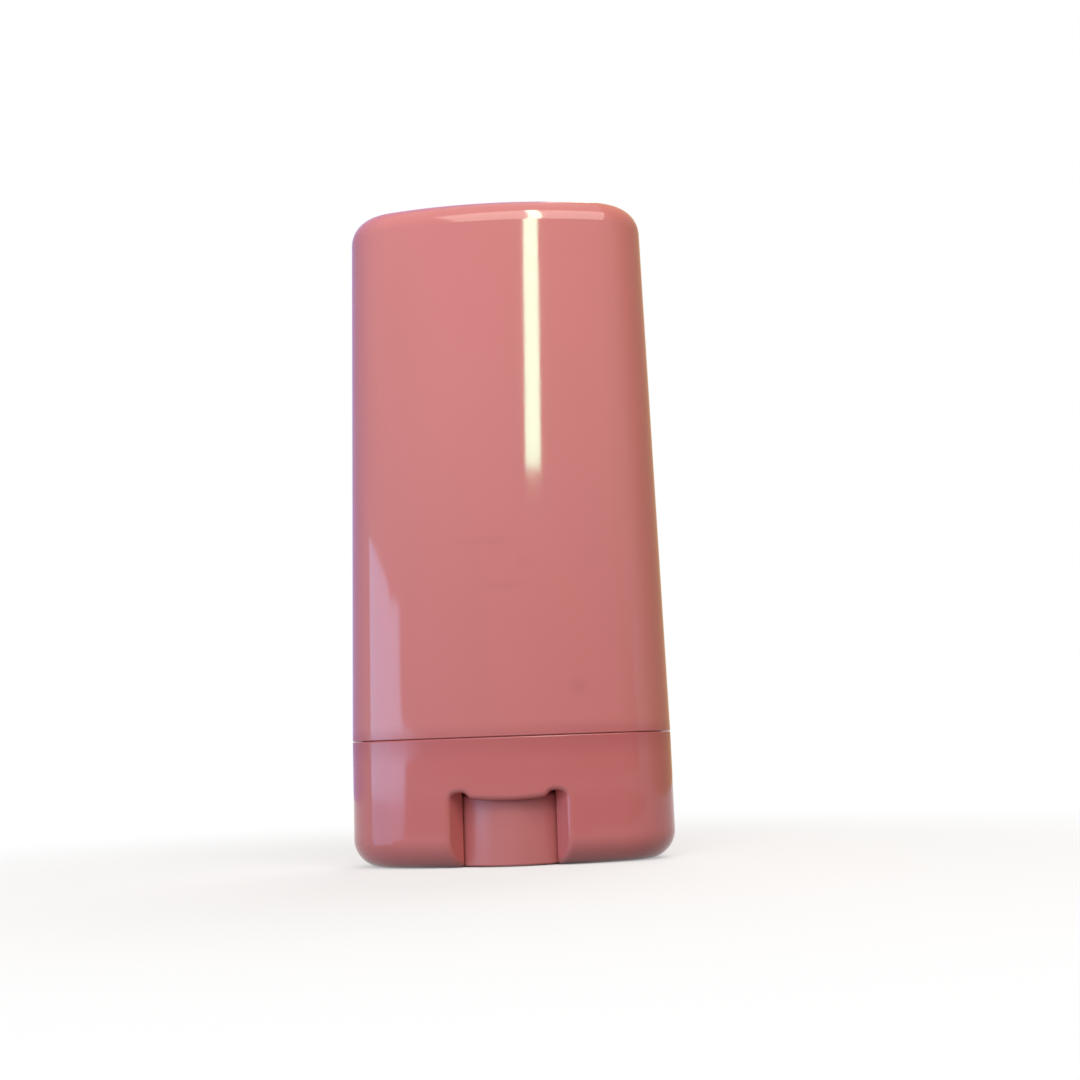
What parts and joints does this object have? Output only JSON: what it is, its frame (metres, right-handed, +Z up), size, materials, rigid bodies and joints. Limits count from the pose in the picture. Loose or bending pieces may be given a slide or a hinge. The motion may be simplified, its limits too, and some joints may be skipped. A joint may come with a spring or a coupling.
{
  "type": "twist-up stick container",
  "caption": "Flat-oval twist-up stick pack: long slide-off cap, barrel on a short base, thumbwheel, coarse screw and lifting cup; empty and unlabelled.",
  "frame": {"origin": "middle of the foot, on the surface that the pack stands on, on the screw's axis", "axes": "+Z up along the screw, +X along the oval's width to the right as seen from the front, front towards -Y"},
  "size_m": [0.0614, 0.0304, 0.1272],
  "materials": {
    "cap_gloss": "high-gloss dusty pink moulding",
    "base_gloss": "high-gloss dusty pink moulding",
    "barrel_satin": "satin dusty pink moulding",
    "dial_gloss": "smooth dusty pink moulding, duller than the shell",
    "natural_plastic": "uncoloured milky moulding"
  },
  "bodies": {
    "body": {"base_shell": "base_gloss", "barrel": "barrel_satin"},
    "cap": {"cap": "cap_gloss"},
    "drive": {"dial": "dial_gloss", "spindle": "natural_plastic"},
    "cup": {"lifting_cup": "natural_plastic"}
  },
  "joints": [
    {"name": "cap_lift", "type": "slide", "parent": "body", "child": "cap", "axis": [0, 0, 1], "range_m": [0, 0.095]},
    {"name": "dial_turn", "type": "hinge", "parent": "body", "child": "drive", "pos_m": [0, 0, 0.006], "axis": [0, 0, -1], "range_deg": [0, 4860]},
    {"name": "cup_rise", "type": "slide", "parent": "body", "child": "cup", "axis": [0, 0, 1], "range_m": [0, 0.081]}
  ],
  "couplings": [
    {"joint": "cup_rise", "follows": "dial_turn", "m_per_rad": 0.00095493}
  ]
}
